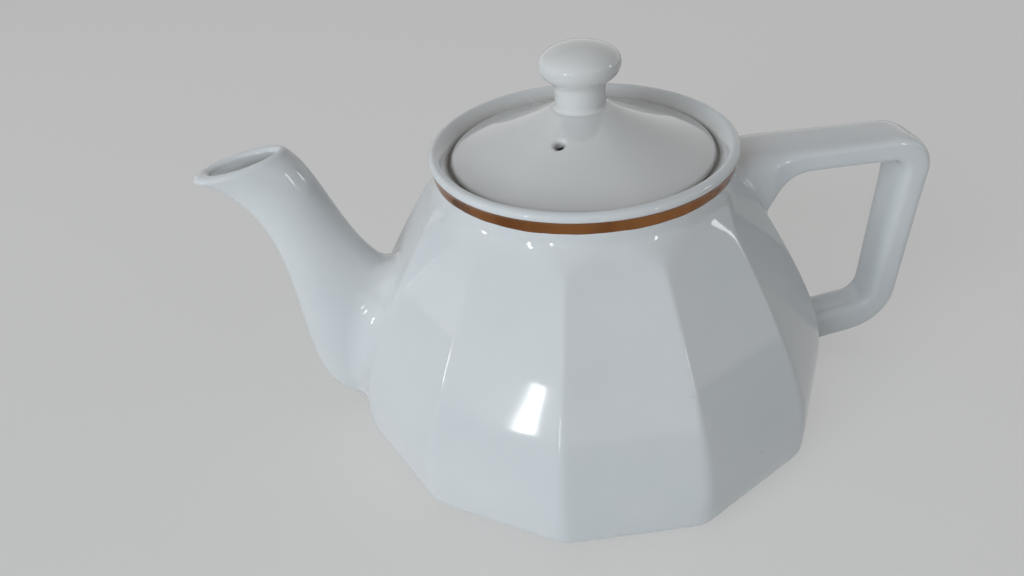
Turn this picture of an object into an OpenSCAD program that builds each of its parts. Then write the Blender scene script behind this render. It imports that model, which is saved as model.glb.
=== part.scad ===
// Twelve-sided porcelain teapot: cast body, luted spout and handle, loose lid with a luted knob.
// Millimetres. Z is up, the table is z = 0, the spout points to -X and the handle to +X.

/* [Body] */
// Flat sides round the body; spout and handle stand on two opposite sides
side_count = 12; // [8:2:16]
// Centre to the middle of a flat side, at the widest height
body_half = 80.3; // [76:0.1:86]
// Height at which the ridged shoulder ends and the round neck begins
shoulder_h = 89.6; // [86:0.1:90.4]
// How upright the belly rises above its widest line
belly_fullness = 15; // [12:0.5:24]
// How straight the shoulder is before it curves into the belly
shoulder_run = 50; // [36:0.5:54]
// Inward lean of the shoulder, as run over rise
shoulder_lean = 0.64; // [0.56:0.01:0.66]
// Radius that rounds each ridge
ridge_r = 3; // [1.5:0.1:6]
// Height over which the ridges fade into the round neck
ridge_fade = 11; // [8:0.5:30]
// Radius between the sides and the underside
base_round = 5; // [3:0.1:9]
// Thickness of the cast wall
wall = 4.5; // [3.5:0.1:5.5]
// Thickness of the floor
floor_t = 5; // [4:0.1:7]
// Radius between floor and wall inside the pot
floor_round = 12; // [8:0.5:20]

/* [Foot] */
// Height of the unglazed foot ring
foot_h = 1.2; // [0.8:0.1:3]
// Width of the foot ring
foot_w = 4; // [3:0.1:6]
// Distance of the foot ring inside the edge of the underside
foot_inset = 3; // [2:0.1:6]
// Depth of the hollow inside the foot ring, above its top
recess = 1.6; // [0.8:0.1:2.4]

/* [Neck] */
// Radius of the round neck under the lip
neck_r = 45.6; // [44.6:0.1:46.4]
// Height of the neck, from the shoulder to the rim
neck_h = 7.8; // [7.2:0.1:11]
// Outer radius of the lip
lip_r = 48; // [47.4:0.1:49.5]
// Radius of the rolled edge of the lip
lip_round = 1.9; // [1.5:0.05:2.2]
// Depth of the lid's seat below the rim
seat_depth = 5.6; // [5:0.1:6.2]
// Radius of the recess that takes the lid
gallery_r = 42.9; // [41.5:0.1:43.4]
// Radius of the opening inside the seat
throat_r = 38.8; // [36:0.1:39.4]
// Thickness of the seat ledge at its inner edge
ledge_t = 2; // [1.6:0.1:2.6]

/* [Gilt band] */
// Height of the gilt band, measured up from the shoulder
band_h = 3.8; // [2:0.1:3.8]
// Raised thickness of the band
band_t = 0.3; // [0.2:0.05:0.5]

/* [Strainer] */
// Diameter of the holes in the wall behind the spout
strainer_d = 4.2; // [4:0.1:5]
// Distance between neighbouring strainer holes
strainer_pitch = 7.4; // [6.5:0.1:8]
// Rows of strainer holes, one above the other
strainer_rows = 5; // [3:2:5]

/* [Spout] */
// Distance from the axis of the pot to the tip
spout_reach = 119.4; // [114:0.1:128]
// Height of the tip above the rim
spout_tip_rise = 0.3; // [-2:0.1:6]
// Length of the mouth, from the tip back
mouth_l = 29.1; // [25:0.1:33]
// Rise of the mouth from the tip to its back
mouth_rise = 4.9; // [2:0.1:8]
// Half the width of the mouth, across the spout
mouth_half = 8.4; // [7:0.1:10]
// Half the width of the spout where it meets the body
spout_root_half = 13; // [11:0.1:16]
// Height of the lowest point of the spout inside the body
spout_low_h = 4.5; // [4:0.5:10]
// Height of the highest point of the spout inside the body
spout_high_h = 61; // [56:0.5:64]
// How far the lower outline of the spout bulges out from the body
spout_bulge = 44; // [36:0.5:48]
// Thickness of the spout's wall
spout_wall = 3; // [2.4:0.1:3.6]

/* [Handle] */
// Distance from the axis of the pot to the back of the handle
handle_reach = 114.8; // [108:0.1:124]
// Distance of the handle's flat top below the neck
handle_drop = 1.1; // [0.2:0.1:6]
// Width of the handle where it leaves the neck, across the pot
handle_w_top = 21; // [16:0.1:23]
// Width of the handle at its lower corner
handle_w_low = 14; // [12:0.1:18]
// Thickness of the bar at the neck
handle_t_top = 7.8; // [6.5:0.1:11]
// Thickness of the bar at its lower corner
handle_t_low = 11; // [9:0.1:14]
// Thickness of the bar where it meets the body, low down
handle_t_root = 13.4; // [11:0.1:16]
// Height of the lower corner of the handle's centre line
handle_low_h = 18.5; // [18:0.5:32]
// How far the back of the handle leans in from its upper to its lower corner
handle_lean = 0; // [0:0.1:12]
// Height at which the handle's centre line enters the body
handle_root_h = 11; // [10:0.5:20]
// Radius of the centre line round each corner
handle_bend_r = 10; // [8:0.1:14]
// Radius of the fillet under the handle's upper root
handle_fillet_r = 12; // [6:0.5:14]
// Distance from the axis at which that fillet begins
handle_fillet_at = 72.8; // [68:0.1:76]
// Extra half width of the handle at its roots
handle_spread = 2; // [1:0.1:4]

/* [Lid] */
// Gap between the lid's edge and its recess
lid_gap = 1.4; // [0.8:0.1:2]
// Gap between the lid's flange and the throat
flange_gap = 0.8; // [0.5:0.1:1.5]
// Gap left under the lid's edge
seat_gap = 0.2; // [0.1:0.05:0.4]
// Thickness of the lid's edge
lid_edge_t = 3.2; // [2.6:0.1:4]
// Rise of the lid from its edge to the knob
lid_rise = 14.1; // [11:0.1:20]
// How domed the lid is: 0 is a plain cone
lid_dome = 0.06; // [0:0.01:0.5]
// Thickness of the lid's wall
lid_wall = 3.6; // [3:0.1:4.5]
// Depth of the locating flange below the seat
flange_depth = 8; // [6:0.1:12]
// Thickness of the locating flange
flange_t = 3; // [2.5:0.1:4]
// Diameter of the steam vent
vent_d = 3.6; // [3:0.1:5]
// Distance of the steam vent from the axis
vent_at = 20.7; // [18:0.1:26]
// Direction of the steam vent, in degrees from +X
vent_turn = 244; // [0:1:359]

/* [Knob] */
// Radius of the stem
stem_r = 7.5; // [5.5:0.1:9]
// Height from the lid to the widest line of the knob
knob_h = 12.6; // [10:0.1:18]
// Radius of the knob
knob_r = 12.3; // [10.5:0.1:15]
// Rise of the knob's rounded top above its widest line
knob_cap = 5.1; // [3:0.1:8]
// Radius of the fillet where the stem meets the lid
stem_fillet = 1.8; // [0.5:0.1:2.4]

/* [Hidden] */

$fn = 128;
porcelain = [0.86, 0.88, 0.89];
gold = [0.78, 0.55, 0.22];

side_angle = 360 / side_count;
ridge_steps = 5;
belly_steps = 10;
fade_steps = 4;
neck_blend_h = 7;

widest_h = foot_h + base_round;
belly_top_h = shoulder_h - neck_blend_h;
belly_top_half = neck_r + shoulder_lean * neck_blend_h * 0.85;
foot_half = body_half - base_round - foot_inset;
floor_h = foot_h + recess + floor_t;

rim_h = shoulder_h + neck_h;
throat_top_h = rim_h - seat_depth;
neck_inner_r = neck_r - wall;
tongue = 1.6;
seam_step = 0.05;

spout_tip_h = rim_h + spout_tip_rise;
spout_bury = 12;
spout_crotch_out = 14.6;
spout_crotch_drop = 12.2;
spout_bulge_drop = 9;
spout_throat_back = 43.2;
spout_throat_drop = 18.2;
mouth_lead = 10.2;
spout_steps = 20;
spout_sides = 28;
mouth_back = spout_reach - mouth_l;

handle_top_h = shoulder_h - handle_drop;
handle_sides = 24;
section_power = 0.5;
fillet_turn = 62;

lid_r = gallery_r - lid_gap;
flange_r = throat_r - flange_gap;
lid_seat_h = throat_top_h + seat_gap;
knob_seat_r = stem_r + stem_fillet + 0.3;
lid_steps = 14;
knob_steps = 9;

function mix(a, b, t) = a + (b - a) * t;
function eased(t) = let (u = max(0, min(1, t))) u * u * (3 - 2 * u);

// Point on a cubic Bezier curve with control points p
function bezier(p, t) =
    p[0] * pow(1 - t, 3) + 3 * p[1] * t * pow(1 - t, 2) + 3 * p[2] * t * t * (1 - t) + p[3] * pow(t, 3);

// Point on a quadratic Bezier curve with control points p
function bend(p, t) = p[0] * pow(1 - t, 2) + 2 * p[1] * t * (1 - t) + p[2] * t * t;

// Outline of a flat side, from the underside up to the neck, as [half width, height]
belly_curve = [
    [body_half, widest_h],
    [body_half, widest_h + belly_fullness],
    [belly_top_half + shoulder_lean * shoulder_run, belly_top_h - shoulder_run],
    [belly_top_half, belly_top_h]
];
neck_curve = [
    [belly_top_half, belly_top_h],
    [neck_r - seam_step, belly_top_h + (belly_top_half - neck_r) / shoulder_lean],
    [neck_r - seam_step, shoulder_h]
];
side_outline = concat(
    [for (a = [-90:22.5:-1]) [body_half + base_round * (cos(a) - 1), widest_h + base_round * sin(a)]],
    [for (i = [0:belly_steps]) bezier(belly_curve, i / belly_steps)],
    [for (i = [1:fade_steps]) bend(neck_curve, i / fade_steps)]
);

// Half width of a flat side at height h
function half_at(h) = lookup(h, [for (p = side_outline) [p[1], p[0]]]);

// Radius that rounds the ridges at height h: it grows until the section is a circle
function ridge_round(half, h, least) =
    mix(least, half, eased((h - shoulder_h + ridge_fade) / (ridge_fade - 1)));

// Regular polygon with rounded corners, as points in the plane
function rounded_polygon(half, rho) = [
    for (k = [0:side_count - 1], i = [0:ridge_steps - 1])
        let (
            ridge = (k + 0.5) * side_angle,
            turn = ridge + side_angle * ((i + 0.5) / ridge_steps - 0.5),
            centre = (half - rho) / cos(side_angle / 2)
        )
        [centre * cos(ridge) + rho * cos(turn), centre * sin(ridge) + rho * sin(turn)]
];

function level(points, h) = [for (p = points) [p[0], p[1], h]];
function flatten(rings) = [for (ring = rings, p = ring) p];

// Solid through a row of rings with equal point counts: capped at both ends, or joined end to end
module loft(rings, endless = false) {
    n = len(rings[0]);
    m = len(rings);
    last = endless ? m - 1 : m - 2;
    sides = [
        for (j = [0:last], i = [0:n - 1])
            let (up = (j + 1) % m, next = (i + 1) % n)
            [j * n + i, up * n + i, up * n + next, j * n + next]
    ];
    caps = [
        [for (i = [0:n - 1]) i],
        [for (i = [n - 1:-1:0]) (m - 1) * n + i]
    ];
    polyhedron(points = flatten(rings), faces = endless ? sides : concat(sides, caps), convexity = 8);
}

function outer_ring(p) = level(rounded_polygon(p[0], ridge_round(p[0], p[1], ridge_r)), p[1]);

// Inside of the wall at height h; the ridges are softer there than outside
function inner_ring(half, h) = level(rounded_polygon(half, ridge_round(half, h, ridge_r + wall)), h);

inner_levels = [for (i = [belly_steps:-1:0]) bezier(belly_curve, i / belly_steps)];
inner_rings = concat(
    [for (i = [fade_steps:-1:1]) let (p = bend(neck_curve, i / fade_steps)) inner_ring(p[0] - wall, p[1])],
    [for (p = inner_levels) if (p[1] > floor_h + floor_round) inner_ring(p[0] - wall, p[1])],
    [for (a = [0:22.5:90])
        let (h = floor_h + floor_round * (1 - sin(a)))
        inner_ring(half_at(floor_h + floor_round) - wall - floor_round * (1 - cos(a)), h)]
);

module body_form() {
    loft([for (p = side_outline) outer_ring(p)]);
    cylinder(r = neck_r, h = rim_h - lip_round);
}

module shell() {
    underside = [
        level(rounded_polygon(foot_half - foot_w - 3, ridge_r), foot_h + recess),
        level(rounded_polygon(foot_half - foot_w / 2, ridge_r), foot_h)
    ];
    loft(concat(underside, [for (p = side_outline) outer_ring(p)], inner_rings));
}

module foot_ring() {
    linear_extrude(foot_h + 1)
        difference() {
            polygon(rounded_polygon(foot_half, ridge_r));
            polygon(rounded_polygon(foot_half - foot_w, ridge_r));
        }
}

// Round neck with its rolled lip, the sloping recess for the lid and the seat ledge
module neck() {
    rotate_extrude() {
        translate([lip_r - lip_round, rim_h - lip_round])
            circle(r = lip_round);
        polygon([
            [neck_inner_r + 0.6, shoulder_h],
            [neck_inner_r + 1.2, shoulder_h],
            [neck_inner_r + 1.2, shoulder_h - tongue],
            [neck_r - 1.2, shoulder_h - tongue],
            [neck_r - 1.2, shoulder_h],
            [neck_r, shoulder_h],
            [neck_r, rim_h - lip_round],
            [lip_r - 2 * lip_round, rim_h - lip_round],
            [gallery_r, throat_top_h],
            [throat_r, throat_top_h],
            [throat_r, throat_top_h - ledge_t]
        ]);
    }
}

module strainer_holes() {
    middle_h = (spout_low_h + spout_high_h) / 2 + 4;
    rows = (strainer_rows - 1) / 2;
    for (row = [-rows:rows]) {
        h = middle_h + row * strainer_pitch * sin(60);
        odd = (row + rows) % 2;
        for (k = [-1:1 - odd])
            translate([-half_at(h), (k + odd / 2) * strainer_pitch, h])
                rotate([0, 90, 0])
                    cylinder(d = strainer_d, h = 6 * wall, center = true);
    }
}

module body() {
    color(porcelain)
        difference() {
            union() {
                shell();
                foot_ring();
                neck();
            }
            strainer_holes();
        }
}

// Upper and lower outline of the spout in its plane of symmetry, as [distance from the axis, height]
spout_upper = [
    [half_at(spout_high_h) - spout_bury, spout_high_h],
    [half_at(spout_high_h) + spout_crotch_out, spout_high_h - spout_crotch_drop],
    [mouth_back - mouth_lead, spout_tip_h + mouth_rise - mouth_lead],
    [mouth_back, spout_tip_h + mouth_rise]
];
spout_lower = [
    [half_at(spout_low_h) - spout_bury, spout_low_h],
    [half_at(spout_low_h) + spout_bulge, spout_low_h - spout_bulge_drop],
    [spout_reach - spout_throat_back, spout_tip_h - spout_throat_drop],
    [spout_reach, spout_tip_h]
];
spout_half = [spout_root_half, spout_root_half - 1, mouth_half - 0.6, mouth_half];

// Section of the spout at t, drawn in by inset and raised by lift along the spout
function spout_ring(t, inset, lift = 0) =
    let (
        upper = bezier(spout_upper, t),
        lower = bezier(spout_lower, t),
        middle = (upper + lower) / 2,
        across = lower - upper,
        long = norm(across) / 2 - inset,
        wide = bezier(spout_half, t) - inset,
        out = across / norm(across),
        along = [-out[1], out[0]]
    )
    [for (i = [0:spout_sides - 1])
        let (
            turn = 360 * i / spout_sides,
            p = middle + out * long * cos(turn) + along * lift
        )
        [p[0], wide * sin(turn), p[1]]];

module spout_tube() {
    lip = spout_wall / 2;
    loft(concat(
        [for (i = [0:spout_steps]) spout_ring(i / spout_steps, 0)],
        [for (a = [30:30:150]) spout_ring(1, lip * (1 - cos(a)), lip * sin(a))],
        [for (i = [spout_steps:-2:0]) spout_ring(i / spout_steps, spout_wall)]
    ), endless = true);
}

module spout() {
    color(porcelain)
        difference() {
            rotate([0, 0, 180])
                spout_tube();
            body_form();
        }
}

// Centre line of the handle: straight bars joined by arcs, as [distance, height, direction, station].
// Stations run 0 at the neck, 1 and 2 at the corners and 3 at the lower root.
handle_upper_corner = [handle_reach - handle_t_top / 2 - 0.5, handle_top_h - handle_t_top / 2];
handle_lower_corner = [handle_reach - handle_t_low / 2 - handle_lean, handle_low_h];
handle_start = [neck_r - 8, handle_upper_corner[1]];
handle_end = [half_at(handle_root_h) - 8, handle_root_h];

function heading(a, b) = atan2(b[1] - a[1], b[0] - a[0]);
function run(a, b, s0, s1, steps) = [
    for (i = [0:steps - 1])
        let (p = mix(a, b, i / steps)) [p[0], p[1], heading(a, b), mix(s0, s1, i / steps)]
];

// Distance from a corner b to where its arc begins
function arc_reach(a, b, c) = handle_bend_r * abs(tan((heading(b, c) - heading(a, b)) / 2));
function before(a, b, c) = b + (a - b) / norm(a - b) * arc_reach(a, b, c);
function after(a, b, c) = b + (c - b) / norm(c - b) * arc_reach(a, b, c);

// Arc round corner b, turning clockwise
function corner(a, b, c, station, steps) =
    let (
        from = heading(a, b),
        turn = heading(b, c) - from,
        sweep = turn > 0 ? turn - 360 : turn,
        centre = before(a, b, c) + handle_bend_r * [sin(from), -cos(from)]
    )
    [for (i = [0:steps - 1])
        let (d = from + sweep * i / steps)
        [centre[0] - handle_bend_r * sin(d), centre[1] + handle_bend_r * cos(d), d,
            station + 0.2 * (i / steps - 0.5)]];

handle_path =
    let (a = handle_start, b = handle_upper_corner, c = handle_lower_corner, d = handle_end)
    concat(
        run(a, before(a, b, c), 0, 0.9, 10),
        corner(a, b, c, 1, 7),
        run(after(a, b, c), before(b, c, d), 1.1, 1.9, 5),
        corner(b, c, d, 2, 7),
        run(after(b, c, d), d, 2.1, 3, 8),
        [[d[0], d[1], heading(c, d), 3]]
    );

// Depth the fillet under the upper root adds at distance r: an arc, then a line as steep as the shoulder
function fillet_depth(r) =
    let (x = max(0, handle_fillet_at - r), arc = handle_fillet_r * sin(fillet_turn))
    x < arc
        ? handle_fillet_r - sqrt(pow(handle_fillet_r, 2) - x * x)
        : handle_fillet_r * (1 - cos(fillet_turn)) + (x - arc) * tan(fillet_turn);

// Rounded-rectangle section of the handle at path point p; the fillet grows on the inner side only
function handle_ring(p) =
    let (
        thick = lookup(p[3], [[1, handle_t_top], [2, handle_t_low], [2.6, handle_t_root]]),
        width = lookup(p[3], [[0, handle_w_top], [2, handle_w_low]]),
        fillet = p[3] < 1 ? fillet_depth(p[0]) : 0,
        from_body = p[3] > 2 ? p[0] - half_at(handle_root_h) : handle_fillet_r,
        near = 1 - max(0, min(1, from_body / handle_fillet_r)),
        half = (thick + fillet) / 2,
        wide = width / 2 + handle_spread * max(min(1, fillet / handle_fillet_r), near * near),
        inward = [sin(p[2]), -cos(p[2])],
        middle = [p[0], p[1]] + inward * fillet / 2
    )
    [for (i = [0:handle_sides - 1])
        let (
            turn = 360 * (i + 0.5) / handle_sides,
            c = cos(turn),
            s = sin(turn),
            q = middle + inward * half * sign(c) * pow(abs(c), section_power)
        )
        [q[0], wide * sign(s) * pow(abs(s), section_power), q[1]]];

module handle() {
    color(porcelain)
        difference() {
            loft([for (p = handle_path) handle_ring(p)]);
            body_form();
        }
}

module gilt_band() {
    color(gold)
        translate([0, 0, shoulder_h])
            rotate_extrude()
                translate([neck_r, 0])
                    square([band_t, band_h]);
}

// Height of the lid's upper face at distance r from the axis; it is flat under the knob
function lid_top(r) =
    let (edge = lid_r - lid_edge_t / 2, u = (edge - max(r, knob_seat_r)) / (edge - knob_seat_r))
    lid_seat_h + lid_edge_t + lid_rise * u * (1 + lid_dome - lid_dome * u);

module lid() {
    edge_r = lid_edge_t / 2;
    dome = [for (i = [0:lid_steps]) mix(lid_r - edge_r, knob_seat_r, i / lid_steps)];
    hollow_r = flange_r - flange_t;
    color(porcelain)
        difference() {
            rotate_extrude() {
                translate([lid_r - edge_r, lid_seat_h + edge_r])
                    circle(r = edge_r);
                polygon(concat(
                    [[lid_r - edge_r, lid_seat_h]],
                    [for (r = dome) [r, lid_top(r)]],
                    [[0, lid_top(0)], [0, lid_top(0) - lid_wall]],
                    [for (i = [lid_steps:-1:0])
                        let (r = mix(hollow_r, knob_seat_r, i / lid_steps)) [r, lid_top(r) - lid_wall]],
                    [
                        [hollow_r, lid_seat_h - flange_depth],
                        [flange_r, lid_seat_h - flange_depth],
                        [flange_r, lid_seat_h]
                    ]
                ));
            }
            rotate([0, 0, vent_turn])
                translate([vent_at, 0, lid_seat_h])
                    cylinder(d = vent_d, h = lid_edge_t + lid_rise);
        }
}

module lid_knob() {
    seat = lid_top(0);
    widest = seat + knob_h;
    neck_curve_h = knob_h * 0.55;
    under = [
        [knob_r, widest],
        [knob_r, widest - 0.3 * neck_curve_h],
        [stem_r, widest - 0.35 * neck_curve_h],
        [stem_r, widest - neck_curve_h]
    ];
    color(porcelain)
        rotate_extrude()
            polygon(concat(
                [[0, seat]],
                [for (a = [0:22.5:90])
                    [stem_r + stem_fillet * (1 - sin(a)), seat + stem_fillet * (1 - cos(a))]],
                [for (i = [knob_steps:-1:1]) bezier(under, i / knob_steps)],
                [for (a = [0:90 / knob_steps:89]) [knob_r * cos(a), widest + knob_cap * sin(a)]],
                [[0, widest + knob_cap]]
            ));
}

body();
spout();
handle();
gilt_band();
lid();
lid_knob();
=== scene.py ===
# Twelve-sided porcelain teapot with a gilt band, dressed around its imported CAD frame.
import math

import bmesh
import bpy
import numpy as np
from mathutils import Matrix, Vector
from mathutils.kdtree import KDTree


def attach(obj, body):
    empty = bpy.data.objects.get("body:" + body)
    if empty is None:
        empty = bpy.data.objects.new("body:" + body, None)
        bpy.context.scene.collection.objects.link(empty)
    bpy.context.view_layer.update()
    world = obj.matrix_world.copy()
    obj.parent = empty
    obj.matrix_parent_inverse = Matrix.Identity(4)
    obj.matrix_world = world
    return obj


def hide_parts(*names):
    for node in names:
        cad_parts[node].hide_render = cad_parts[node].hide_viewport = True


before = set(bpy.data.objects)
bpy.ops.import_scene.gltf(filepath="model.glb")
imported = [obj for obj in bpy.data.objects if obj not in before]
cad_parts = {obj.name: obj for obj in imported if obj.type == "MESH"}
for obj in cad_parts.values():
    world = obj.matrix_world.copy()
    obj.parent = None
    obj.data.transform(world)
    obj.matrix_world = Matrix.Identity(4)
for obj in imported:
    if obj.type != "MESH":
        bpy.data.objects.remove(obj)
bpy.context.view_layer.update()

# ---------------------------------------------------------------- Pot body
# The body is slip-cast porcelain in a twelve-sided mould: flat sides with softly rounded ridges that
# fade into a round neck with a rolled lip. Inside are the lid's seat and a floor with a large fillet;
# a strainer of small holes is pierced through the wall before the spout is luted on.
MM = 0.001
SIDES = 12
HALF_SIDE = math.pi / SIDES
NECK_R = 46.9
SHOULDER_Z = 90.4
SHOULDER_LEAN = 0.64
WALL = 4.5
UNDERSIDE_Z = 2.8
FLOOR_Z = 7.8
FLOOR_ROUND = 12.0
RIDGE_R, RIDGE_R_LOW, RIDGE_LOW_Z = 3.2, 12.0, (2, 60)
RIDGE_FADE_Z = (SHOULDER_Z - 12, SHOULDER_Z - 1.8)
BASE_ROUND = 8.0
BODY_HALF = 80.29
WIDEST_Z = 9.2
BELLY_LOW_PULL, BELLY_HIGH_PULL = 12.4, 48
BELLY_TOP = (50.6, 80.738)
LIP_R = 1.7
LIP_CENTRE = (46.3, 95.7)
SEAT_Z, SEAT_R = 91.8, 39.9


def bezier(points, t):
    """Point at t on the Bezier curve with these control points."""
    points = [np.asarray(p, float) for p in points]
    while len(points) > 1:
        points = [a * (1 - t) + b * t for a, b in zip(points, points[1:])]
    return points[0]


def curve(points, steps, skip_first=False):
    """Points along a Bezier curve; the first is left out where it repeats the end of the piece before."""
    return [bezier(points, i / steps) for i in range(1 if skip_first else 0, steps + 1)]


def arc(centre, radius, start, stop, steps):
    angles = np.radians(np.linspace(start, stop, steps + 1))
    return [np.array([centre[0] + radius * math.cos(a), centre[1] + radius * math.sin(a)]) for a in angles]


side_path = (
    arc((BODY_HALF - BASE_ROUND, WIDEST_Z), BASE_ROUND, -76, 0, 14)
    + curve([(BODY_HALF, WIDEST_Z), (BODY_HALF, WIDEST_Z + BELLY_LOW_PULL),
             (BELLY_TOP[0] + SHOULDER_LEAN * BELLY_HIGH_PULL, BELLY_TOP[1] - BELLY_HIGH_PULL), BELLY_TOP], 56, True)
    + curve([BELLY_TOP, (NECK_R, BELLY_TOP[1] + (BELLY_TOP[0] - NECK_R) / SHOULDER_LEAN),
             (NECK_R, SHOULDER_Z)], 14, True)
)
side_heights = np.array([p[1] for p in side_path])
side_halves = np.array([p[0] for p in side_path])


def side_half(z):
    """Distance from the axis to the middle of a flat side at height z; above the shoulder, the neck's radius."""
    return np.interp(z, side_heights, side_halves)


def eased(value, low, high):
    """Smooth rise from 0 at low to 1 at high."""
    u = np.clip((np.asarray(value, float) - low) / (high - low), 0, 1)
    return u * u * (3 - 2 * u)


def ridge_round(half, z, extra=0.0):
    """Radius that rounds the ridges: crisp on the shoulder, soft near the foot, a circle at the neck."""
    least = RIDGE_R + (RIDGE_R_LOW - RIDGE_R) * (1 - eased(z, *RIDGE_LOW_Z)) + extra
    return np.minimum(half, least + (half - least) * eased(z, *RIDGE_FADE_Z))


def section_radius(turn, half, rho):
    """Distance from the axis to a rounded twelve-sided section, at angle turn from the middle of a side."""
    turn = np.abs((turn + HALF_SIDE) % (2 * HALF_SIDE) - HALF_SIDE)
    centre = (half - rho) / math.cos(HALF_SIDE)
    to_ridge = HALF_SIDE - turn
    inside = np.maximum(rho ** 2 - (centre * np.sin(to_ridge)) ** 2, 0)
    on_ridge = turn > np.arctan2((half - rho) * math.tan(HALF_SIDE), half)
    return np.where(on_ridge, centre * np.cos(to_ridge) + np.sqrt(inside), half / np.cos(turn))


def build_piece(name, points, faces, smooth_angle=38):
    """Mesh object from points in millimetres; doubles are merged, normals point outwards."""
    mesh = bpy.data.meshes.new(name)
    mesh.from_pydata([tuple(c * MM for c in p) for p in points], [], faces)
    work = bmesh.new()
    work.from_mesh(mesh)
    bmesh.ops.remove_doubles(work, verts=work.verts, dist=1e-6)
    bmesh.ops.dissolve_degenerate(work, edges=work.edges, dist=1e-7)
    bmesh.ops.recalc_face_normals(work, faces=work.faces)
    work.to_mesh(mesh)
    work.free()
    mesh.polygons.foreach_set("use_smooth", [True] * len(mesh.polygons))
    mesh.set_sharp_from_angle(angle=math.radians(smooth_angle))
    piece = bpy.data.objects.new(name, mesh)
    bpy.context.scene.collection.objects.link(piece)
    return piece


def grid_faces(rows, columns, closed_rows=False, closed_columns=False):
    """Quads of a grid of points stored row by row."""
    return [
        (r * columns + c, r * columns + (c + 1) % columns,
         (r + 1) % rows * columns + (c + 1) % columns, (r + 1) % rows * columns + c)
        for r in range(rows if closed_rows else rows - 1)
        for c in range(columns if closed_columns else columns - 1)
    ]


# Rows of one side, from the middle of the underside round the outside, over the lip and down inside.
foot_rows = [(half, UNDERSIDE_Z) for half in (0, 20, 45, 62)] + [
    (66.0, 2.75), (67.2, 2.5), (67.9, 1.9), (68.15, 1.0), (68.4, 0.35), (68.9, 0.05), (69.3, 0.0), (70.5, 0.0),
    (71.6, 0.0), (72.0, 0.06), (72.35, 0.35), (72.6, 0.8), (73.0, 1.1), (73.6, 1.25)]
lip_rows = (
    curve([(46.9, 93.2), (46.95, 94.1), (47.69, 94.73)], 5)
    + arc(LIP_CENTRE, LIP_R, -28, 132, 26)
    + curve([(45.16, 96.96), (42.75, 94.8), (42.2, 93.2)], 10, True)
    + curve([(42.2, 92.9), (42.15, 91.85), (41.3, SEAT_Z)], 5)
    + curve([(SEAT_R, SEAT_Z), (38.85, SEAT_Z), (38.8, 91.0)], 5)
    + curve([(38.8, 90.5), (38.9, 89.75), (39.7, 89.7)], 4)
)
THROAT_Z = 87.0
FILLET_Z = FLOOR_Z + FLOOR_ROUND
throat_blend = curve([(39.9, 89.68), (41.0, 89.5), (side_half(THROAT_Z) - WALL, THROAT_Z)], 6, True)
inner_rows = [np.array([half - WALL, z]) for half, z in reversed(side_path) if FILLET_Z + 0.4 < z < THROAT_Z - 0.4]
floor_rows = arc((side_half(FILLET_Z) - WALL - FLOOR_ROUND, FILLET_Z), FLOOR_ROUND, 0, -90, 14) + [
    np.array([half, FLOOR_Z]) for half in (60, 54, 40, 20, 0)]
neck_rows = [np.array([NECK_R, z]) for z in (91.0, 91.8, 92.6)]

body_rows = [(half, z, 0.0) for half, z in foot_rows + side_path + neck_rows + lip_rows]
body_rows += [(half, z, WALL) for half, z in throat_blend + inner_rows + floor_rows]
# Columns from the middle of a side to its ridge, closer together where the ridge is rounded.
half_columns = np.radians([0, 3, 6, 9, 11.5, 13, 13.8, 14.2, 14.45, 14.6, 14.73, 14.87, 15])
side_columns = np.concatenate([-half_columns[:0:-1], half_columns])
panel_points = []
for half, z, extra in body_rows:
    rho = ridge_round(half, z, extra)
    for turn in side_columns:
        r = section_radius(turn, half, rho)
        panel_points.append((r * math.cos(turn), r * math.sin(turn), z))
panel = build_piece("side_panel", panel_points, grid_faces(len(body_rows), len(side_columns)))


class Wire:
    """One output socket of a node tree; arithmetic on it adds Math nodes."""

    def __init__(self, tree, socket):
        self.tree, self.socket = tree, socket

    def node(self, kind, settings=None, inputs=None, out=0):
        """Adds a node: its settings first, then values or links of its sockets, by name or number."""
        new = self.tree.nodes.new(kind)
        for key, value in (settings or {}).items():
            setattr(new, key, value)
        for key, value in (inputs or {}).items():
            if isinstance(value, Wire):
                self.tree.links.new(value.socket, new.inputs[key])
            else:
                new.inputs[key].default_value = value
        return Wire(self.tree, new.outputs[out] if len(new.outputs) else None)

    def maths(self, operation, a, b=0.0):
        return self.node("ShaderNodeMath", {"operation": operation}, {0: a, 1: b})

    def __add__(self, other):
        return self.maths("ADD", self, other)

    def __sub__(self, other):
        return self.maths("SUBTRACT", self, other)

    def __rsub__(self, other):
        return self.maths("SUBTRACT", other, self)

    def __mul__(self, other):
        return self.maths("MULTIPLY", self, other)

    __radd__ = __add__
    __rmul__ = __mul__

    def step(self, low, high, a=0.0, b=1.0):
        """Smooth step of this value from a at low to b at high."""
        return self.node("ShaderNodeMapRange", {"interpolation_type": "SMOOTHSTEP"},
                         {"Value": self, "From Min": low, "From Max": high, "To Min": a, "To Max": b})

    def blend(self, first, second):
        """Colour mix from first to second, with this value as the factor."""
        return self.node("ShaderNodeMix", {"data_type": "RGBA"}, {0: self, 6: first, 7: second}, out=2)


def geometry_tree(name, sizes):
    """Empty Geometry Nodes tree with named number inputs; returns it with its inputs as wires."""
    tree = bpy.data.node_groups.new(name, "GeometryNodeTree")
    tree.interface.new_socket("Geometry", in_out="INPUT", socket_type="NodeSocketGeometry")
    for label, kind in sizes.items():
        tree.interface.new_socket(label, in_out="INPUT", socket_type=kind)
    tree.interface.new_socket("Geometry", in_out="OUTPUT", socket_type="NodeSocketGeometry")
    entry = tree.nodes.new("NodeGroupInput")
    return tree, {s.name: Wire(tree, s) for s in entry.outputs if s.name}


def end_tree(tree, wire):
    leave = tree.nodes.new("NodeGroupOutput")
    tree.links.new(wire.socket, leave.inputs[0])


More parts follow.
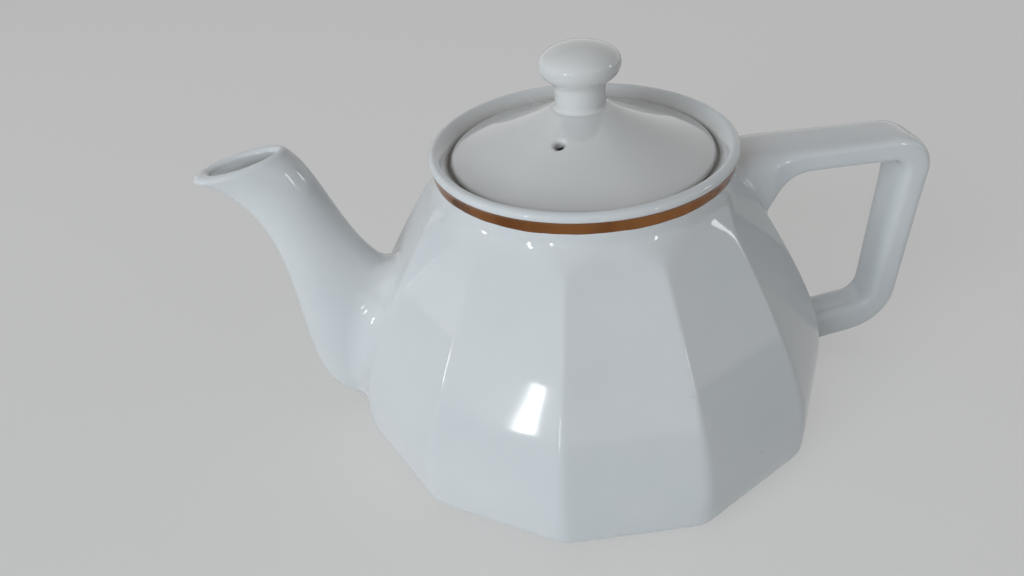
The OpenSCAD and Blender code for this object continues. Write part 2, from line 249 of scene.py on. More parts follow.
def grown(piece, tree, values):
    """Runs the tree on the piece, with values by input name, and keeps the result as its plain mesh."""
    modifier = piece.modifiers.new(tree.name, "NODES")
    modifier.node_group = tree
    for item in tree.interface.items_tree:
        if item.in_out == "INPUT" and item.name in values:
            modifier[item.identifier] = values[item.name]
    view = bpy.context.evaluated_depsgraph_get()
    mesh = bpy.data.meshes.new_from_object(piece.evaluated_get(view))
    piece.modifiers.clear()
    piece.data = mesh
    return piece


def new_material(name):
    """Material with one Principled shader; returns it, the shader and a wire to build nodes from."""
    material = bpy.data.materials.new(name)
    material.use_nodes = True
    shader = material.node_tree.nodes["Principled BSDF"]
    place = Wire(material.node_tree, None).node("ShaderNodeTexCoord", out=3)
    return material, shader, place


def feed(place, shader, **links):
    """Links wires to the shader's sockets; an underscore stands for a space in a socket's name."""
    for key, wire in links.items():
        place.tree.links.new(wire.socket, shader.inputs[key.replace("_", " ")])


GLAZE_WHITE = (0.785, 0.810, 0.825, 1)
GLAZE_SHADE = (0.750, 0.783, 0.805, 1)
# Tea tan. In the lid's recess the same tint is also painted shade.
TEA_TAN_AND_SHADE = (0.40, 0.30, 0.20, 1)
BISCUIT = (0.74, 0.69, 0.61, 1)
BISCUIT_DARK = tuple(c * 0.86 for c in BISCUIT[:3]) + (1,)
SPECK = (0.22, 0.19, 0.13, 1)
GLAZE_IOR = 1.52


def glaze_material(name, seed, white, shade, speck_size, speck_share):
    """White glazed porcelain: faint clouds from white to shade, rare iron specks and a barely uneven, glossy
    surface. Seed moves the pattern. One attribute brings tea tan, and painted shade in the lid's recess; the
    attribute bare brings the unglazed biscuit."""
    material, shader, place = new_material(name)
    moved = place.node("ShaderNodeMapping", None, {"Vector": place, "Location": (seed, seed * 0.7, -seed * 0.4)})
    clouds = place.node("ShaderNodeTexNoise", None, {"Vector": moved, "Scale": 26.0, "Detail": 3.0, "Roughness": 0.5})
    cells = place.node("ShaderNodeTexVoronoi", None, {"Vector": moved, "Scale": 95.0, "Randomness": 1.0})
    rare = place.node("ShaderNodeTexNoise", None, {"Vector": moved, "Scale": 41.0, "Detail": 0.0})
    specks = cells.step(speck_size, speck_size * 0.4) * rare.step(speck_share, speck_share + 0.06)
    stain_and_shade = place.node("ShaderNodeAttribute", {"attribute_name": "stain_and_shade"}, out=2)
    bare = place.node("ShaderNodeAttribute", {"attribute_name": "bare"}, out=2)
    streaks = place.node("ShaderNodeTexNoise", None, {"Vector": moved, "Scale": 150.0, "Detail": 4.0})
    # Tea tan where the pot is tea-stained. In the lid's recess the same tint is painted shade as well as tea.
    tan = stain_and_shade * streaks.step(0.25, 0.75, 0.65, 1.0)
    colour = clouds.step(0.35, 0.65).blend(white, shade)
    colour = (specks * 0.6).blend(colour, SPECK)
    colour = tan.blend(colour, TEA_TAN_AND_SHADE)
    grain = place.node("ShaderNodeTexNoise", None, {"Vector": moved, "Scale": 900.0, "Detail": 2.0})
    colour = bare.blend(colour, grain.step(0.3, 0.7).blend(BISCUIT, BISCUIT_DARK))
    rough = clouds.step(0.3, 0.7, 0.055, 0.085) + specks * 0.2 + tan * 0.12 + bare * 0.62
    waves = place.node("ShaderNodeTexNoise", None, {"Vector": moved, "Scale": 38.0, "Detail": 1.5, "Roughness": 0.4})
    peel = place.node("ShaderNodeTexNoise", None, {"Vector": moved, "Scale": 240.0, "Detail": 1.0})
    height = waves * 0.00016 + peel * 0.0000022 - specks * 0.00003 + bare * grain * 0.00005
    bump = place.node("ShaderNodeBump", None, {"Height": height, "Strength": 1.0, "Distance": 1.0})
    feed(place, shader, Base_Color=colour, Roughness=rough, Normal=bump)
    shader.inputs["IOR"].default_value = GLAZE_IOR
    return material


tree, size = geometry_tree("cast_body", {
    "Sides": "NodeSocketInt", "Weld": "NodeSocketFloat", "Hole Radius": "NodeSocketFloat",
    "Hole Pitch": "NodeSocketFloat", "Row Pitch": "NodeSocketFloat", "Strainer Centre": "NodeSocketVector",
    "Drill Depth": "NodeSocketFloat", "Glaze": "NodeSocketMaterial"})
start = size["Geometry"]
places = start.node("GeometryNodePoints", None, {"Count": size["Sides"]})
number = start.node("GeometryNodeInputIndex")
turn = number * (2 * HALF_SIDE)
spin = start.node("ShaderNodeCombineXYZ", None, {"Z": turn})
around = start.node("GeometryNodeInstanceOnPoints", None, {"Points": places, "Instance": start, "Rotation": spin})
solid = start.node("GeometryNodeRealizeInstances", None, {"Geometry": around})
solid = start.node("GeometryNodeMergeByDistance", None, {"Geometry": solid, "Distance": size["Weld"]})
drill = start.node("GeometryNodeMeshCylinder", None, {
    "Vertices": 36, "Radius": size["Hole Radius"], "Depth": size["Drill Depth"]})
holes = []
for rows, columns in ((3, 3), (2, 2)):
    rack = start.node("GeometryNodeMeshGrid", None, {
        "Size X": size["Row Pitch"] * (2.0 * (rows - 1)), "Size Y": size["Hole Pitch"] * (columns - 1.0),
        "Vertices X": rows, "Vertices Y": columns})
    holes.append(start.node("GeometryNodeInstanceOnPoints", None, {"Points": rack, "Instance": drill}))
joined = start.node("GeometryNodeJoinGeometry")
for rack in holes:
    tree.links.new(rack.socket, joined.socket.node.inputs[0])
joined = start.node("GeometryNodeTransform", None, {
    "Geometry": joined, "Rotation": (0.0, math.pi / 2, 0.0), "Translation": size["Strainer Centre"]})
joined = start.node("GeometryNodeRealizeInstances", None, {"Geometry": joined})
pierced = start.node("GeometryNodeMeshBoolean", {"operation": "DIFFERENCE", "solver": "EXACT"},
                     {"Mesh 1": solid, "Mesh 2": joined})
painted = start.node("GeometryNodeSetMaterial", None, {"Geometry": pierced, "Material": size["Glaze"]})
end_tree(tree, painted)

STRAINER_PITCH = 7.4
STRAINER_HOLE_R = 2.1
STRAINER_CENTRE = (-0.076, 0.0, 0.03675)
DRILL_DEPTH = 0.034
MERGED = 2e-6
SHARP_RIDGE = math.radians(38)
glaze = glaze_material("glazed_porcelain", 0.31, GLAZE_WHITE, GLAZE_SHADE, 0.035, 0.62)
body = grown(panel, tree, {
    "Sides": SIDES, "Weld": MERGED, "Hole Radius": STRAINER_HOLE_R * MM, "Hole Pitch": STRAINER_PITCH * MM,
    "Row Pitch": STRAINER_PITCH * math.sin(math.radians(60)) * MM, "Strainer Centre": STRAINER_CENTRE,
    "Drill Depth": DRILL_DEPTH, "Glaze": glaze})
body.name = body.data.name = "pot_body"
body.data.set_sharp_from_angle(angle=SHARP_RIDGE)


def mark(piece, label, values):
    """Keeps one number for each point of the piece, for its material to read."""
    layer = piece.data.attributes.new(label, "FLOAT", "POINT")
    layer.data.foreach_set("value", np.asarray(values, np.float32))


def points_of(piece):
    """The piece's points in millimetres, one row each."""
    flat = np.empty(len(piece.data.vertices) * 3, np.float32)
    piece.data.vertices.foreach_get("co", flat)
    return flat.reshape(-1, 3) / MM


at = points_of(body)
radius = np.hypot(at[:, 0], at[:, 1])
height = at[:, 2]
RECESS_Z, RECESS_R = 91, 45.4
inside = (radius < side_half(height) - 2.5) & (height > 6) & (height < RECESS_Z)
recess = (radius < RECESS_R) & (height >= RECESS_Z)
inside_stain = 0.10 + 0.25 * (1 - eased(height, 20, 84))
# Inside the pot, tea tan that grows heavier towards the floor. In the lid's recess the tint is painted shade as well
# as tea, strongest at its inner edge by the lid's gap.
recess_stain_and_shade = 0.42 - 0.36 * eased(radius, 41.5, RECESS_R)
mark(body, "bare", np.where((height < 0.4) & (radius > 60), 1.0, 0.0))
mark(body, "stain_and_shade", np.where(inside, inside_stain, np.where(recess, recess_stain_and_shade, 0.0)))
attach(body, "pot")
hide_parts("body")

# ---------------------------------------------------------------- Spout
# The spout is a separate casting, a flattened tube that bows out low down and narrows to an open,
# slightly flared mouth. It is luted to a flat side with slip, wiped into a soft fillet all round.
SPOUT_UPPER = [(side_half(61) - 12, 61), (side_half(61) + 13.9, 49.3), (78.8, 93.6), (89.4, 103.6)]
SPOUT_LOWER = [(side_half(7) - 12, 4.5), (side_half(7) + 44.6, -6.0), (77.0, 79.3), (119.38, 97.7)]
SPOUT_HALF = [(13,), (12,), (7.8,), (8.4,)]
SPOUT_WALL = 3.0
SPOUT_COLUMNS = 96
SPOUT_FILLET = (9.0, 4.5)
SPOUT_STAIN = 0.6
LUTED_LOW_Z = 2.6


def outside_gap(p):
    """How far a point lies outside the body's surface, measured from the axis outwards."""
    z = min(max(p[2], side_heights[0]), SHOULDER_Z + 3)
    half = side_half(z)
    return math.hypot(p[0], p[1]) - float(section_radius(math.atan2(p[1], p[0]), half, ridge_round(half, z)))


def surface_normal(p):
    """Outward direction of the body's surface near a point."""
    step = 0.05
    slope = np.array([outside_gap(p + d) - outside_gap(p - d) for d in np.eye(3) * step])
    return slope / np.linalg.norm(slope)


def drop_to_surface(p, sink=0.0):
    """The nearest point of the body's surface, moved inwards by sink."""
    for _ in range(4):
        normal = surface_normal(p)
        p = p - normal * outside_gap(p)
    return p - surface_normal(p) * sink


def crossing(path):
    """Where a path that comes in from outside meets the body's surface."""
    gaps = [outside_gap(p) for p in path]
    last = next(i for i, gap in enumerate(gaps) if gap < 0)
    share = gaps[last - 1] / (gaps[last - 1] - gaps[last])
    return path[last - 1] * (1 - share) + path[last] * share


def luted_column(path, touch, seam_step, centre, reaches, low_z, high_z):
    """One strip of a wall that is luted on: its outside path comes in, turns over a slip fillet on to the
    body, meets it in a tangent between low_z and high_z, and ends sunk under its surface. The fillet's
    reach goes from the first of reaches at the sides to the second at the top."""
    across = np.cross(surface_normal(touch), seam_step)
    across *= math.copysign(1.0, np.dot(across, touch - centre)) / np.linalg.norm(across)
    reach = reaches[0] + (reaches[1] - reaches[0]) * max(across[2], 0) ** 2
    if across[2] < 0:
        reach = min(reach, (touch[2] - low_z) / -across[2])
    elif across[2] > 0:
        reach = min(reach, (high_z - touch[2]) / across[2])
    end = drop_to_surface(touch + across * reach)
    normal = surface_normal(end)
    above = [float(np.dot(p - end, normal)) for p in path]
    last = next(i for i, p in enumerate(path) if outside_gap(p) < 0)
    corner = touch
    if np.dot(touch - end, normal) < 0:
        while above[last - 1] < 0:
            last -= 1
        share = above[last - 1] / (above[last - 1] - above[last])
        corner = path[last - 1] * (1 - share) + path[last] * share
    kept, travelled, lead = list(path[:last]), 0.0, corner
    while travelled + np.linalg.norm(kept[-1] - lead) < reach:
        travelled += np.linalg.norm(kept[-1] - lead)
        lead = kept.pop()
    begin = lead + (kept[-1] - lead) / np.linalg.norm(kept[-1] - lead) * (reach - travelled)
    away = (end - corner) / np.linalg.norm(end - corner)
    sunk = [drop_to_surface(end + away * far, deep) for far, deep in ((0.7, 0.02), (1.3, 0.12), (1.5, 1.4))]
    return kept, curve([begin, corner, end], 14) + sunk


def spout_point(t, turn, inset=0.0, lift=0.0):
    """Point of the spout's outside at t from root to mouth; inset goes into the wall, lift out of the mouth."""
    upper, lower = bezier(SPOUT_UPPER, t), bezier(SPOUT_LOWER, t)
    across = lower - upper
    length = np.linalg.norm(across)
    out = across / length
    p = (upper + lower) / 2 + out * (length / 2 - inset) * math.cos(turn) + np.array([-out[1], out[0]]) * lift
    wide = float(bezier(SPOUT_HALF, t)[0]) - inset
    return np.array([-p[0], -wide * math.sin(turn), p[1]])


def resampled(path, count):
    """The same path with its points spread evenly."""
    path = np.array(path)
    far = np.concatenate([[0], np.cumsum(np.linalg.norm(np.diff(path, axis=0), axis=1))])
    marks = np.linspace(0, far[-1], count)
    return [np.array([np.interp(m, far, path[:, k]) for k in range(3)]) for m in marks]


def seam_steps(touches):
    """Direction of the seam at each of its points, from the neighbours on both sides."""
    return [touches[(i + 1) % len(touches)] - touches[i - 1] for i in range(len(touches))]


def bore_inset(t, turn):
    """Thickness of the spout's wall, more at the pouring tip and a little more at the back of the mouth."""
    mouth = float(eased(t, 0.72, 1.0))
    return SPOUT_WALL + mouth * (2.4 * max(math.cos(turn), 0) ** 2 + 0.6 * max(-math.cos(turn), 0) ** 2)


turns = [2 * math.pi * i / SPOUT_COLUMNS for i in range(SPOUT_COLUMNS)]
outer_paths = [[spout_point(t, a) for t in np.linspace(1, 0, 120)] for a in turns]
touches = [crossing(path) for path in outer_paths]
centre = np.mean(touches, axis=0)
columns, bores, stains = [], [], []
for turn, path, step, touch in zip(turns, outer_paths, seam_steps(touches), touches):
    kept, fillet = luted_column(path, touch, step, centre, SPOUT_FILLET, LUTED_LOW_Z, SHOULDER_Z)
    outside = resampled(kept + [fillet[0]], 64)
    lip = bore_inset(1.0, turn) / 2
    rim = [spout_point(1.0, turn, lip * (1 - math.cos(a)), SPOUT_WALL / 2 * math.sin(a))
           for a in np.radians(np.arange(168, 0, -12))]
    bore_path = [spout_point(t, turn, bore_inset(t, turn)) for t in np.linspace(1, 0, 90)]
    bore_end = next(i for i, p in enumerate(bore_path) if outside_gap(p) < -0.8)
    bore = resampled(bore_path[:bore_end + 1], 44)[::-1]
    columns.append(bore + rim + outside[:-1] + fillet)
    bores += bore
    stains += [SPOUT_STAIN * float(eased(steps_in, 0.5, 3.5)) for steps_in in range(len(bore))][::-1]
length = len(columns[0])
spout = build_piece("spout_skin", [c[i] for i in range(length) for c in columns],
                    grid_faces(length, SPOUT_COLUMNS, closed_rows=True, closed_columns=True))
spout_at = points_of(spout)
bore_points = KDTree(len(bores))
for number, point in enumerate(bores):
    bore_points.insert(point, number)
bore_points.balance()
nearest = [bore_points.find(p)[1:] for p in spout_at]
mark(spout, "stain_and_shade", [stains[number] if gap < 0.01 else 0.0 for number, gap in nearest])
spout.data.materials.append(glaze)
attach(spout, "pot")
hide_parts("spout")

# ---------------------------------------------------------------- Handle
# The handle is a solid strap with a flat top and rounded edges, cast in a mould of its own. Its upper
# root swells under the bar into a big fillet, and both ends are luted to the body and wiped smooth.
HANDLE_BEND = {1: 9.0, 2: 11.5}
HANDLE_CORNERS = [(NECK_R - 8, 84.3), (109.2, 84.3), (109.2, 16.8), (side_half(11) - 8, 9.4)]
# Stations along the strap: 0 at the neck, 1 and 2 at the bends, 3 at the lower root.
THICK_AT = ((0.8, 1.1, 1.9, 2.15, 2.9), (8.6, 9.8, 10.8, 13.2, 13.6))
EDGE_AT = ((0, 1.0, 1.25, 3), (0.5, 0.5, 0.62, 0.62))
WIDE_AT = ((0, 2), (21.0, 14.0))
FILLET_R, FILLET_FROM, FILLET_TURN = 12.0, 72.8, math.radians(62)
HANDLE_COLUMNS = 64
UPPER_SEAM, LOWER_SEAM = (2.4, 0.8), (2.0, 2.0)


def handle_route():
    """Centre line from neck to lower root: rows of distance, height, direction and station."""
    corners = [np.array(c, float) for c in HANDLE_CORNERS]
    heading = [math.atan2(b[1] - a[1], b[0] - a[0]) for a, b in zip(corners, corners[1:])]
    route, start = [], corners[0]
    for k in (1, 2):
        bend = (heading[k - 1] - heading[k]) % (2 * math.pi)
        radius = HANDLE_BEND[k]
        reach = radius * math.tan(bend / 2)
        before = corners[k] - reach * np.array([math.cos(heading[k - 1]), math.sin(heading[k - 1])])
        steps, first_station, span = (40, 0.0, 0.9) if k == 1 else (24, 1 + 0.1, 0.8)
        for u in np.linspace(0, 1, steps)[:-1]:
            p = start * (1 - u) + before * u
            route.append((p[0], p[1], heading[k - 1], first_station + u * span))
        middle = before + radius * np.array([math.sin(heading[k - 1]), -math.cos(heading[k - 1])])
        for u in np.linspace(0, 1, 15)[:-1]:
            d = heading[k - 1] - bend * u
            route.append((middle[0] - radius * math.sin(d), middle[1] + radius * math.cos(d), d,
                          k + 0.2 * (u - 0.5)))
        start = corners[k] + reach * np.array([math.cos(heading[k]), math.sin(heading[k])])
    for u in np.linspace(0, 1, 40):
        p = start * (1 - u) + corners[3] * u
        route.append((p[0], p[1], heading[2], 2.1 + 0.9 * u))
    return route


def under_fillet(r):
    """How far the big fillet reaches below the bar at distance r from the axis."""
    x, edge = max(0.0, FILLET_FROM - r), FILLET_R * math.sin(FILLET_TURN)
    if x < edge:
        return FILLET_R - math.sqrt(FILLET_R ** 2 - x * x)
    return FILLET_R * (1 - math.cos(FILLET_TURN)) + (x - edge) * math.tan(FILLET_TURN)


def strap_point(place, turn):
    """Point of the strap's rounded section at one row of the route."""
    r, z, way, station = place
    fillet = under_fillet(r) if station < 1 else 0.0
    near = 1 - min(max((r - side_half(11)) / FILLET_R, 0), 1) if station > 2 else 0.0
    half = (np.interp(station, *THICK_AT) + fillet) / 2
    wide = np.interp(station, *WIDE_AT) / 2 + 2 * max(min(1, fillet / FILLET_R), near * near)
    inward = np.array([math.sin(way), -math.cos(way)])
    c, s = math.cos(turn), math.sin(turn)
    power = np.interp(station, *EDGE_AT)
    p = np.array([r, z]) + inward * (fillet / 2 + half * math.copysign(abs(c) ** power, c))
    return np.array([p[0], wide * math.copysign(abs(s) ** power, s), p[1]])


route = handle_route()
middle = next(i for i, place in enumerate(route) if place[3] >= 1.5)
turns = [2 * math.pi * (i + 0.5) / HANDLE_COLUMNS for i in range(HANDLE_COLUMNS)]
halves = []
for rows, reaches in ((route[middle::-1], UPPER_SEAM), (route[middle:], LOWER_SEAM)):
    paths = [[strap_point(place, a) for place in rows] for a in turns]
    touches = [crossing(path) for path in paths]
    centre = np.mean(touches, axis=0)
    built = []
    for path, step, touch in zip(paths, seam_steps(touches), touches):
        kept, fillet = luted_column(path, touch, step, centre, reaches, LUTED_LOW_Z, SHOULDER_Z)
        built.append(resampled(kept + [fillet[0]], 90)[:-1] + fillet)
    halves.append(built)
columns = [up[::-1] + down[1:] for up, down in zip(*halves)]
length = len(columns[0])
handle_points = [c[i] for i in range(length) for c in columns]
ends = [np.mean(handle_points[:HANDLE_COLUMNS], axis=0), np.mean(handle_points[-HANDLE_COLUMNS:], axis=0)]
first, last = len(handle_points), len(handle_points) + 1
caps = [(first, (i + 1) % HANDLE_COLUMNS, i) for i in range(HANDLE_COLUMNS)]
base = (length - 1) * HANDLE_COLUMNS
caps += [(last, base + i, base + (i + 1) % HANDLE_COLUMNS) for i in range(HANDLE_COLUMNS)]
handle = build_piece("handle_strap", handle_points + ends,
                     grid_faces(length, HANDLE_COLUMNS, closed_columns=True) + caps)
handle.data.materials.append(glaze)
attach(handle, "pot")
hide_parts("handle")

# ---------------------------------------------------------------- Gilt band
# A band of burnished gold, brushed on over the glaze round the neck and fired, close under the lip.
# Its lower edge wavers a little, and washing has worn it thin in places.
BAND_COLUMNS = 288
# Both gold colours are much darker than gold itself. The extra darkness is a painted dark reflection of the
# surroundings the band mirrors.
GOLD_PAINTED_DARK_REFLECTION = (0.33, 0.14, 0.05, 1)
GOLD_DEEP_PAINTED_DARK_REFLECTION = (0.24, 0.092, 0.032, 1)
WAVER = ((0.10, 3, 0.7), (0.07, 8, 2.1), (0.05, 19, 0), (0.03, 41, 1))
WAVER_Z = (91.0, 92.8)


def lathe(profile, columns, waver=None):
    """Points of a profile of (radius, height) turned round the axis, row by row."""
    points = []
    for r, z in profile:
        for i in range(columns):
            a = 2 * math.pi * i / columns
            points.append((r * math.cos(a), r * math.sin(a), z + (waver(a, z) if waver else 0)))
    return points


def band_waver(a, z):
    """Unevenness of the brushed lower edge, fading out towards the lip."""
    drift = sum(size * math.sin(waves * a + phase) for size, waves, phase in WAVER)
    return drift * float(1 - eased(z, *WAVER_Z))


band_profile = [(46.6, 90.95), (46.93, 90.85), (47.02, 90.9), (47.12, 91.2), (47.22, 91.8), (47.28, 92.4),
                (47.32, 93.0), (47.38, 93.6), (47.5, 94.15), (47.66, 94.5), (47.80, 94.66), (47.83, 94.8),
                (47.6, 94.86), (46.6, 94.4)]
band = build_piece("gilt_ring", lathe(band_profile, BAND_COLUMNS, band_waver),
                   grid_faces(len(band_profile), BAND_COLUMNS, closed_rows=True, closed_columns=True))
gold, shader, place = new_material("burnished_gold")
streak = place.node("ShaderNodeMapping", None, {"Vector": place, "Scale": (1.0, 1.0, 9.0)})
brush = place.node("ShaderNodeTexNoise", None, {"Vector": streak, "Scale": 120.0, "Detail": 4.0, "Roughness": 0.6})
rubs = place.node("ShaderNodeMapping", None, {"Vector": place, "Scale": (1.0, 1.0, 0.3)})
patches = place.node("ShaderNodeTexNoise", None, {"Vector": rubs, "Scale": 85.0, "Detail": 2.0})
pits = place.node("ShaderNodeTexNoise", None, {"Vector": place, "Scale": 700.0, "Detail": 2.0})
worn = patches.step(0.70, 0.73)
colour = worn.blend(patches.step(0.35, 0.65).blend(GOLD_PAINTED_DARK_REFLECTION, GOLD_DEEP_PAINTED_DARK_REFLECTION), GLAZE_WHITE)
bump = place.node("ShaderNodeBump", None, {
    "Height": brush * 0.000008 + pits * 0.000002, "Strength": 1.0, "Distance": 1.0})
feed(place, shader, Base_Color=colour, Roughness=brush.step(0.3, 0.7, 0.10, 0.20), Metallic=1 - worn, Normal=bump)
band.data.materials.append(gold)
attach(band, "pot")
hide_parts("gilt_band")

# ---------------------------------------------------------------- Lid
# The lid is a shallow cone turned up to the knob, with a rounded rim that lies loose in the recess and a
# flange that keeps it centred. One steam vent is bored through the top before firing.
LID_COLUMNS = 256
LID_EDGE = (39.75, 93.3)
LID_EDGE_R = 1.45
LID_LOW, LID_RISE, LID_SWEEP, KNOB_SEAT_R = 94.75, 13.0, 0.26, 9.0
LID_THICK = 3.6
VENT_R, VENT_TURN, VENT_COLUMNS = 18.2, math.radians(240), 48
# The lid's glaze is a greyer, less blue copy of the body's glaze: painted shade that stands for the dimmer, more
# neutral light falling on the lid.
LID_WHITE_PAINTED_SHADE = (0.775, 0.780, 0.775, 1)
LID_CLOUD_PAINTED_SHADE = (0.740, 0.750, 0.750, 1)


def lid_top(r):
    """Height of the lid's upper face: shallow near the rim, sweeping up towards the knob."""
    u = (LID_EDGE[0] - max(r, KNOB_SEAT_R)) / (LID_EDGE[0] - KNOB_SEAT_R)
    return LID_LOW + LID_RISE * u * (1 - LID_SWEEP + LID_SWEEP * u)


lid_profile = (
    [(0, lid_top(0)), (5, lid_top(0))]
    + [(r, lid_top(r) + 0.12 * float(eased(r, 14, 38)))
       for r in np.concatenate([[8.4, 9.2, 9.8, 10.6], np.linspace(11.5, 39.4, 60)])]
    + arc(LID_EDGE, LID_EDGE_R, 70, -88, 22)
    + [(38.9, 91.9), (38.3, 91.85), (38.0, 91.5), (38.0, 88), (38.0, 85.2), (37.8, 84.5), (37.2, 84.05),
       (36.5, 84.0), (35.7, 84.1), (35.2, 84.6), (35.0, 85.4), (35.0, 88.0), (35.0, 90.4), (34.7, 91.8), (33.8, 92.7)]
    + [(r, lid_top(r) - LID_THICK) for r in np.linspace(32.0, 11, 24)]
    + [(8, lid_top(0) - 3.75), (4, lid_top(0) - 3.8), (0, lid_top(0) - 3.8)]
)
lid = build_piece("lid_cover", lathe(lid_profile, LID_COLUMNS),
                  grid_faces(len(lid_profile), LID_COLUMNS, closed_columns=True))
vent_profile = [(0, 0), (1.6, 0), (1.6, 5.2), (1.66, 5.6), (1.9, 6.0), (2.3, 6.3), (2.9, 6.5), (2.9, 9), (0, 9)]
slope = math.atan2(lid_top(VENT_R - 0.7) - lid_top(VENT_R + 0.7), 1.4)
vent = build_piece("vent_borer", lathe(vent_profile, VENT_COLUMNS),
                   grid_faces(len(vent_profile), VENT_COLUMNS, closed_columns=True))
vent_height = lid_top(VENT_R) + 0.04
vent_flare = 6.42
vent.data.transform(
    Matrix.Rotation(VENT_TURN, 4, "Z") @ Matrix.Translation((VENT_R * MM, 0, vent_height * MM))
    @ Matrix.Rotation(slope, 4, "Y") @ Matrix.Translation((0, 0, -vent_flare * MM)))
cut = lid.modifiers.new("vent", "BOOLEAN")
cut.operation, cut.solver, cut.object = "DIFFERENCE", "EXACT", vent
view = bpy.context.evaluated_depsgraph_get()
lid_mesh = bpy.data.meshes.new_from_object(lid.evaluated_get(view))
lid.modifiers.clear()
lid.data = lid_mesh
lid_mesh.name = "lid_cover"
lid_mesh.set_sharp_from_angle(angle=math.radians(50))
bpy.data.objects.remove(vent)
# The lid and knob take this greyer glaze, which paints the lid's shade into its colour.
lid_glaze_painted_shade = glaze_material("lid_glaze_painted_shade", 1.7, LID_WHITE_PAINTED_SHADE, LID_CLOUD_PAINTED_SHADE, 0.045, 0.50)
lid.data.materials.clear()
lid.data.materials.append(lid_glaze_painted_shade)
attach(lid, "lid")
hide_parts("lid")

# ---------------------------------------------------------------- Knob
# The knob is a small mushroom on a short stem, cast solid and luted to the flat at the middle of the lid.
KNOB_COLUMNS = 128
KNOB_R, STEM_R, STEM_FLARE = 12.3, 7.7, 1.0
KNOB_TOP_Z = 127
WIDEST_KNOB_Z = 121.2
KNOB_CAP = KNOB_TOP_Z - WIDEST_KNOB_Z
STEM_FOOT_Z = lid_top(0)
knob_profile = (
    [(0, STEM_FOOT_Z - 0.4), (8.4, STEM_FOOT_Z - 0.4)]
    + [(STEM_R + STEM_FLARE * (1 - math.sin(a)), STEM_FOOT_Z - 0.08 + 1.5 * (1 - math.cos(a)))
       for a in np.radians(np.linspace(0, 90, 12))]
    + curve([(STEM_R, WIDEST_KNOB_Z - 7.6), (STEM_R, WIDEST_KNOB_Z - 4.2), (KNOB_R, WIDEST_KNOB_Z - 4.6),
             (KNOB_R, WIDEST_KNOB_Z)], 24)
    + [(KNOB_R * math.cos(a), WIDEST_KNOB_Z + KNOB_CAP * math.sin(a)) for a in np.radians(np.linspace(4, 90, 22))]
)
knob = build_piece("knob", lathe(knob_profile, KNOB_COLUMNS),
                   grid_faces(len(knob_profile), KNOB_COLUMNS, closed_columns=True))
# The knob shares the lid's greyer glaze and its painted shade.
knob.data.materials.append(lid_glaze_painted_shade)
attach(knob, "lid")
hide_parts("lid_knob")

# ---------------------------------------------------------------- Floor, light and camera
# A plain pale floor. One broad soft light stands for the window, narrow panes give the glaze its bright
# streaks, and a weak light above and a pale sky fill the rest.
FLOOR_SIZE = 12
FLOOR_GREY = (0.80, 0.80, 0.79, 1)
FLOOR_PALE = (0.70, 0.70, 0.695, 1)
FLOOR_GLOW = 0.5
SKY_FILL = 0.17
bpy.ops.mesh.primitive_plane_add(size=FLOOR_SIZE)
floor = bpy.context.object
floor.name = "floor"
stage, shader, place = new_material("pale_floor")
shader.inputs["Base Color"].default_value = FLOOR_GREY
shader.inputs["Roughness"].default_value = 0.9
shader.inputs["Specular IOR Level"].default_value = 0.1


def seen_directly(tree):
    """1 on what the camera sees, also in a mirror or through glass; 0 where light only bounces."""
    path = Wire(tree, None).node("ShaderNodeLightPath")
    outs = path.socket.node.outputs
    mirrored = path.maths("MAXIMUM", Wire(tree, outs["Is Glossy Ray"]), Wire(tree, outs["Is Transmission Ray"]))
    return path.maths("MAXIMUM", path, mirrored)


glow = place.node("ShaderNodeEmission", None, {"Color": FLOOR_PALE, "Strength": 1.0})
mixed = place.node("ShaderNodeMixShader", None, {
    0: seen_directly(stage.node_tree) * FLOOR_GLOW, 1: Wire(stage.node_tree, shader.outputs[0]), 2: glow})
stage.node_tree.links.new(mixed.socket, stage.node_tree.nodes["Material Output"].inputs["Surface"])
floor.data.materials.append(stage)


def soft_light(name, where, target, width, height, power, colour):
    """Rectangular area light that faces the target."""
    light = bpy.data.lights.new(name, "AREA")
    light.shape, light.size, light.size_y = "RECTANGLE", width, height
    light.energy, light.color = power, colour
    lamp = bpy.data.objects.new(name, light)
    lamp.location = where
    lamp.rotation_euler = (Vector(target) - Vector(where)).to_track_quat("-Z", "Y").to_euler()
    bpy.context.scene.collection.objects.link(lamp)
    return lamp


def from_way(turn, far, height):
    """Point that lies far from the pot's axis in the direction turn, in degrees from the handle."""
    return Vector((far * math.cos(math.radians(turn)), far * math.sin(math.radians(turn)), height))


PANE_FAR = 1.5
PANE_COLOUR = (0.92, 0.97, 1.0)
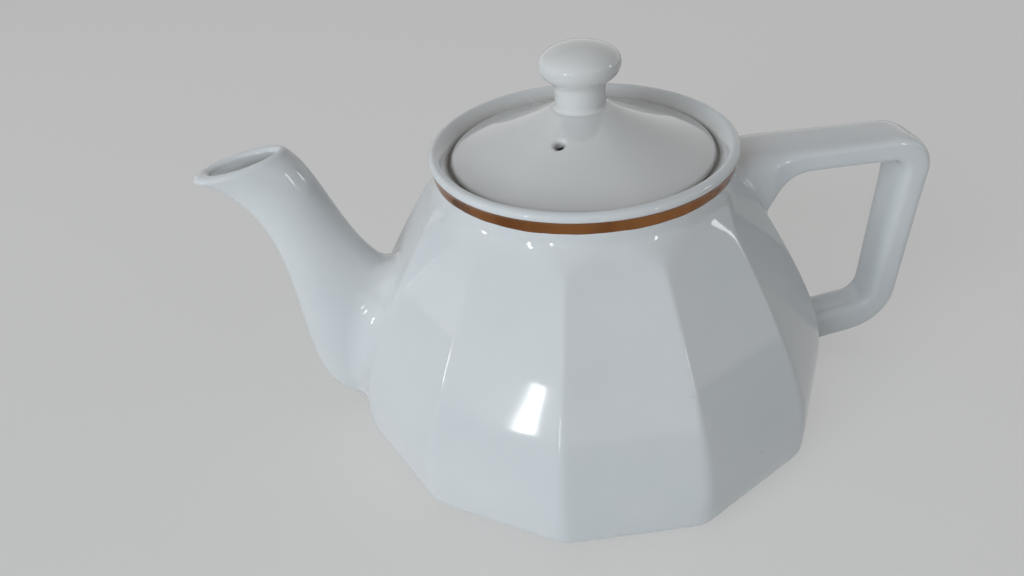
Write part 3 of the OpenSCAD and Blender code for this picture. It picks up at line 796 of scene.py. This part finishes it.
# Each pane's direction, height of its middle, width, height and power.
PANES = ((-137.5, 0.17, 0.035, 0.30, 1.0), (-122.0, 0.12, 0.04, 0.22, 0.6), (-171.0, 0.13, 0.09, 0.20, 0.9),
         (-50.0, 0.34, 0.06, 0.26, 0.6), (-8.0, 0.42, 0.20, 0.24, 0.9))
for number, (turn, height, width, tall, power) in enumerate(PANES):
    soft_light(f"window_pane_{number}", from_way(turn, PANE_FAR, height), (0, 0, height), width, tall, power,
               PANE_COLOUR)
wall = soft_light("window_wall", from_way(-137, 1.7, 0.7), (0, 0, 0.1), 1.3, 1.3, 15.5, (0.88, 0.95, 1.0))
wall.visible_glossy = False
soft_light("overhead", (-0.1, 0.5, 1.9), (0, 0, 0.05), 1.8, 1.8, 2.6, (1.0, 0.98, 0.96))

world = bpy.data.worlds.new("studio")
bpy.context.scene.world = world
world.use_nodes = True
sky = world.node_tree.nodes["Background"]
sky.inputs["Color"].default_value = (1, 1, 1, 1)
world.node_tree.links.new((seen_directly(world.node_tree) * (1 - SKY_FILL) + SKY_FILL).socket, sky.inputs["Strength"])

# The camera stands in front of the pot and is then swung about the pot's axis, so that the handle lies to +X.
CAMERA_LENS = 25.892
CAMERA_STAND = Vector((0, -4.46, 4.052)) * 48 * MM
yaw, pitch, roll, swing = -0.1205, 0.6212, -0.0925, math.radians(-9.6)
camera_data = bpy.data.cameras.new("camera")
camera_data.sensor_width = 36
camera_data.lens = CAMERA_LENS
ahead = Vector((math.sin(yaw) * math.cos(pitch), math.cos(yaw) * math.cos(pitch), -math.sin(pitch)))
right = Vector((math.cos(yaw), -math.sin(yaw), 0))
up = right.cross(ahead)
right_rolled = math.cos(roll) * right + math.sin(roll) * up
up_rolled = -math.sin(roll) * right + math.cos(roll) * up
axes = Matrix((right_rolled, up_rolled, -ahead)).transposed().to_4x4()
camera = bpy.data.objects.new("camera", camera_data)
camera.matrix_world = Matrix.Rotation(swing, 4, "Z") @ Matrix.Translation(CAMERA_STAND) @ axes
bpy.context.scene.collection.objects.link(camera)
bpy.context.scene.camera = camera
bpy.context.scene.view_settings.view_transform = "Standard"
